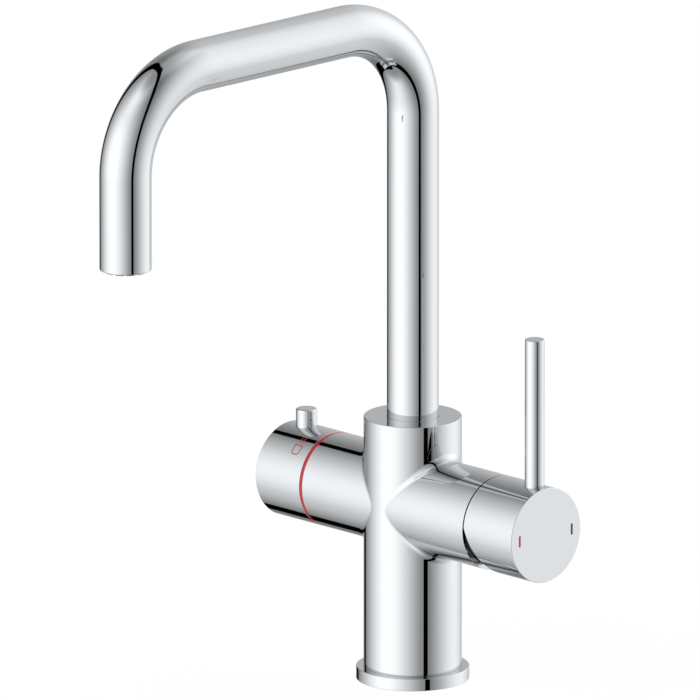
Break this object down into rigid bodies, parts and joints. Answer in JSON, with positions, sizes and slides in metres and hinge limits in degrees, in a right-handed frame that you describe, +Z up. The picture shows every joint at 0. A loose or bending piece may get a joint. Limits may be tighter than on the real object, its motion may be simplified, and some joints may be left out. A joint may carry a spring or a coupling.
{
  "type": "boiling water kitchen tap",
  "caption": "Chrome column tap with tall inverted-U swivel spout, lever mixer on one cross arm and a locked boiling-water knob with safety button on the other.",
  "frame": {"origin": "centre of the base ring's underside, on the deck the tap stands on", "axes": "+Z up the column's axis; the spout points towards -Y; the mixer arm and its lever are on +X, the boiling-water knob on -X"},
  "size_m": [0.187, 0.2425, 0.3597],
  "materials": {
    "polished_chrome": "mirror-polished chrome plate on brass",
    "inner_chrome": "polished chrome plate, seen in shade",
    "brass": "machined",
    "steel": "plain stainless",
    "seal_rubber": "matt black",
    "white_plastic": "natural moulded",
    "grey_plastic": "moulded",
    "black_plastic": "moulded",
    "disc_ceramic": "lapped",
    "red_plastic": "gloss",
    "red_mark": "printed enamel",
    "blue_mark": "printed enamel"
  },
  "bodies": {
    "tap_body": {"tap_body": "polished_chrome", "base_ring": "polished_chrome", "base_gasket": "seal_rubber", "base_seal": "seal_rubber", "spout_grub_screw": "steel", "boil_tube_seal": "seal_rubber", "cartridge_seals": "seal_rubber", "cartridge_base": "grey_plastic", "cartridge_housing": "grey_plastic", "mixer_fixed_disc": "disc_ceramic", "cartridge_nut": "brass", "dome_cover": "inner_chrome", "boil_seat_seal": "seal_rubber", "boil_fixed_disc": "disc_ceramic", "boil_valve_body": "brass", "lock_collar": "steel", "red_ring": "red_plastic"},
    "spout": {"spout_tube": "polished_chrome", "spout_ferrule": "brass", "spout_orings": "seal_rubber", "spout_wear_rings": "white_plastic", "boil_tube": "steel", "tube_spacers": "white_plastic", "outlet_housing": "white_plastic", "outlet_seal": "seal_rubber", "stream_former": "steel", "nozzle_ring": "grey_plastic"},
    "mixer_core": {"mixer_rotor": "grey_plastic", "pivot_pin": "steel"},
    "handle": {"lever_stem": "brass", "handle_cap": "polished_chrome", "lever_rod": "polished_chrome", "handle_grub_screw": "steel", "handle_grub_cover": "polished_chrome", "hot_mark": "red_mark", "cold_mark": "blue_mark"},
    "mixing_disc": {"mixer_moving_disc": "disc_ceramic", "disc_carrier": "grey_plastic"},
    "boil_knob": {"boil_moving_disc": "disc_ceramic", "boil_spindle": "brass", "spindle_oring": "seal_rubber", "spindle_clip": "steel", "knob_hub": "black_plastic", "boil_knob": "polished_chrome", "boil_mark": "red_mark", "knob_grub_screw": "steel", "button_spring": "steel"},
    "safety_button": {"safety_button": "polished_chrome", "safety_latch": "steel"}
  },
  "joints": [
    {"name": "spout_swivel", "type": "hinge", "parent": "tap_body", "child": "spout", "pos_m": [0, 0, 0.12], "axis": [0, 0, 1], "continuous": true},
    {"name": "temperature_turn", "type": "hinge", "parent": "tap_body", "child": "mixer_core", "pos_m": [0.05, 0, 0.093], "axis": [1, 0, 0], "range_deg": [-45, 45]},
    {"name": "flow_tilt", "type": "hinge", "parent": "mixer_core", "child": "handle", "pos_m": [0.057, 0, 0.093], "axis": [0, 1, 0], "range_deg": [0, 20]},
    {"name": "disc_slide", "type": "slide", "parent": "mixer_core", "child": "mixing_disc", "axis": [0, 0, 1], "range_m": [0, 0.0046]},
    {"name": "boiling_turn", "type": "hinge", "parent": "tap_body", "child": "boil_knob", "pos_m": [-0.07, 0, 0.093], "axis": [1, 0, 0], "range_deg": [0, 90]},
    {"name": "safety_press", "type": "slide", "parent": "boil_knob", "child": "safety_button", "axis": [0, 0, -1], "range_m": [0, 0.0025], "stiffness_N_per_m": 400, "springref_m": -0.002, "deforming": ["button_spring"]}
  ],
  "couplings": [
    {"joint": "disc_slide", "follows": "flow_tilt", "m_per_rad": 0.01274}
  ]
}
